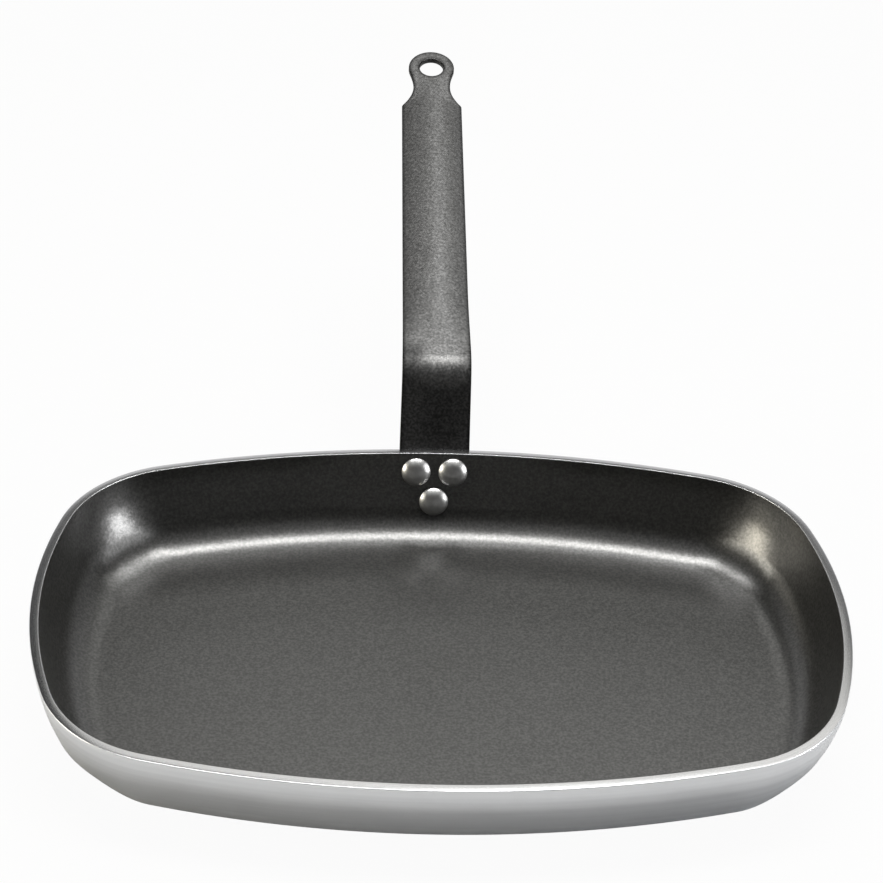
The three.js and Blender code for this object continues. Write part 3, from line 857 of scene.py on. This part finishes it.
def white_share(nodes, seen, mirrored_part):
    """How much of an added white a ray meets, from the camera itself or by way of metal or glass."""
    ray = nodes.add("ShaderNodeLightPath").outputs
    in_mirror = nodes.calculate("MAXIMUM", ray["Is Glossy Ray"], ray["Is Transmission Ray"])
    in_camera = nodes.calculate("MULTIPLY", ray["Is Camera Ray"], seen)
    return nodes.calculate("MULTIPLY_ADD", in_mirror, mirrored_part, in_camera)


def whitened(nodes, plain, white, share):
    """A plain shader and a white one, mixed by the white one's share."""
    mix = nodes.add("ShaderNodeMixShader")
    nodes.join(share, mix.inputs["Fac"])
    nodes.join(plain, mix.inputs[1])
    nodes.join(white, mix.inputs[2])
    return mix.outputs["Shader"]


floor_corners = [(-1, -1), (1, -1), (1, 1), (-1, 1)]
floor_mesh = bpy.data.meshes.new("studio_floor")
floor_mesh.from_pydata([(x * FLOOR_HALF, y * FLOOR_HALF, 0) for x, y in floor_corners], [], [(0, 1, 2, 3)])
floor = bpy.data.objects.new("studio_floor", floor_mesh)
bpy.context.scene.collection.objects.link(floor)

board = Finish("white_board")
board_grain = board.noise(board.object_place(), scale=60.0, detail=2.0, roughness=0.5)
board.give("Base Color", board.ramp(board_grain, (NOISE_LOW, FLOOR_SHADE), (NOISE_HIGH, FLOOR_WHITE)))
board.give("Roughness", FLOOR_ROUGHNESS)
board.give("Specular IOR Level", FLOOR_SHINE)
floor_white = board.add("ShaderNodeEmission", strength=1.0)
floor_share = white_share(board, FLOOR_WHITE_SEEN, FLOOR_WHITE_MIRRORED)
floor_mix = whitened(board, board.shader.outputs["BSDF"], floor_white.outputs["Emission"], floor_share)
board.join(floor_mix, board.tree.nodes["Material Output"].inputs["Surface"])
floor.data.materials.append(board.material)


# Studio light. A strip hangs over the pan, panels hang behind it, over the grip and on the ceiling
# in front, and a small lamp and a screen stand on each side. The room is dim, but for a pale wall
# low behind the pan, which only metal and glass mirror. The camera sees the room white.
PAN_MIDDLE = (0, 0.06, 0.03)
ROOM_TINT = (0.95, 0.97, 1.0, 1)
ROOM_DIMNESS = 0.015
ROOM_WHITE_MIRRORED = 0.02
BACK_WALL_WHITE = 0.8
# The height is the sine of a ray's angle over the horizon, the sides are cosines of its angle to +Y.
BACK_WALL_HEIGHT = (0.40, 0.52)
BACK_WALL_SIDES = (0.3, 0.7)


def softbox(name, place, aim, width, height, radiance, tint=(1, 1, 1)):
    """A rectangular lamp at a place, facing a point, as bright as a panel of that radiance."""
    lamp = bpy.data.lights.new(name, "AREA")
    lamp.shape = "RECTANGLE"
    lamp.size = width
    lamp.size_y = height
    lamp.energy = radiance * math.pi * width * height
    lamp.color = tint
    holder = bpy.data.objects.new(name, lamp)
    holder.location = place
    holder.rotation_euler = (Vector(aim) - Vector(place)).to_track_quat("-Z", "Y").to_euler()
    holder.visible_camera = False
    bpy.context.scene.collection.objects.link(holder)


softbox(
    "overhead_strip", place=(0.05, 0.17, 1.30), aim=(0.05, 0.12, 0),
    width=1.30, height=0.36, radiance=12.5, tint=(1.0, 0.99, 0.965),
)
softbox(
    "back_panel", place=(0.45, 1.03, 1.35), aim=(0, 0.05, 0.03),
    width=1.8, height=0.80, radiance=0.92, tint=(1.0, 0.995, 0.955),
)
softbox(
    "grip_panel", place=(0.34, 0.57, 1.40), aim=(0, 0.20, 0.10),
    width=0.70, height=0.25, radiance=3.1,
)
softbox(
    "ceiling", place=(0, -1.10, 2.40), aim=(0, -1.10, 0),
    width=3.0, height=2.2, radiance=0.25,
)
softbox(
    "right_lamp", place=(1.12, -0.32, 0.15), aim=PAN_MIDDLE,
    width=0.19, height=0.13, radiance=56,
)
softbox(
    "left_lamp", place=(-1.12, -0.24, 0.17), aim=PAN_MIDDLE,
    width=0.28, height=0.18, radiance=13.5, tint=(1.0, 0.91, 0.73),
)
softbox(
    "left_screen", place=(-1.20, -0.10, 0.34), aim=PAN_MIDDLE,
    width=0.90, height=0.50, radiance=4.4, tint=(1.0, 0.96, 0.85),
)
softbox(
    "right_screen", place=(1.10, -0.25, 0.52), aim=PAN_MIDDLE,
    width=0.70, height=0.45, radiance=2.4,
)

room = bpy.data.worlds.new("studio_room")
room.use_nodes = True
bpy.context.scene.world = room
studio = Nodes(room.node_tree)
dim = studio.tree.nodes["Background"]
dim.inputs["Color"].default_value = ROOM_TINT
dim.inputs["Strength"].default_value = ROOM_DIMNESS
bright = studio.add("ShaderNodeBackground", strength=1.0)
bright.inputs["Color"].default_value = (1, 1, 1, 1)
_, backward_way, upward_way = studio.axes(studio.add("ShaderNodeTexCoord").outputs["Generated"])
wall_height = studio.ranged(upward_way, *BACK_WALL_HEIGHT, BACK_WALL_WHITE, 0, smooth=True)
wall_sides = studio.ranged(backward_way, *BACK_WALL_SIDES, 0, 1, smooth=True)
back_wall = studio.calculate("MULTIPLY_ADD", wall_height, wall_sides, ROOM_WHITE_MIRRORED)
room_share = white_share(studio, 1, back_wall)
room_mix = whitened(studio, dim.outputs["Background"], bright.outputs["Background"], room_share)
studio.join(room_mix, studio.tree.nodes["World Output"].inputs["Surface"])


# Camera. A long lens in front of the pan, about 34 degrees up, turned and tilted a little as the
# picture was taken.
CAMERA_YAW = -0.0550016
CAMERA_RISE = 0.5988786
CAMERA_TILT = 0.0484154
CAMERA_DISTANCE = 1.48213
CAMERA_ASIDE = -0.0002177
CAMERA_UP = 0.076975
CAMERA_LENS = 130.277
SENSOR_WIDTH = 36

backward = Vector((
    math.sin(CAMERA_YAW) * math.cos(CAMERA_RISE),
    -math.cos(CAMERA_YAW) * math.cos(CAMERA_RISE),
    math.sin(CAMERA_RISE),
))
level = Vector((math.cos(CAMERA_YAW), math.sin(CAMERA_YAW), 0))
upright = backward.cross(level)
side_axis = math.cos(CAMERA_TILT) * level + math.sin(CAMERA_TILT) * upright
up_axis = -math.sin(CAMERA_TILT) * level + math.cos(CAMERA_TILT) * upright
rim_middle = Vector((0, 0, PAN_HEIGHT))
camera_place = rim_middle + CAMERA_DISTANCE * backward + CAMERA_ASIDE * side_axis + CAMERA_UP * up_axis
lens = bpy.data.cameras.new("front_camera")
lens.sensor_width = SENSOR_WIDTH
lens.lens = CAMERA_LENS
camera = bpy.data.objects.new("front_camera", lens)
camera_axes = Matrix((side_axis, up_axis, backward)).transposed().to_4x4()
camera.matrix_world = Matrix.Translation(camera_place) @ camera_axes
bpy.context.scene.collection.objects.link(camera)
bpy.context.scene.camera = camera
bpy.context.scene.view_settings.view_transform = "Standard"
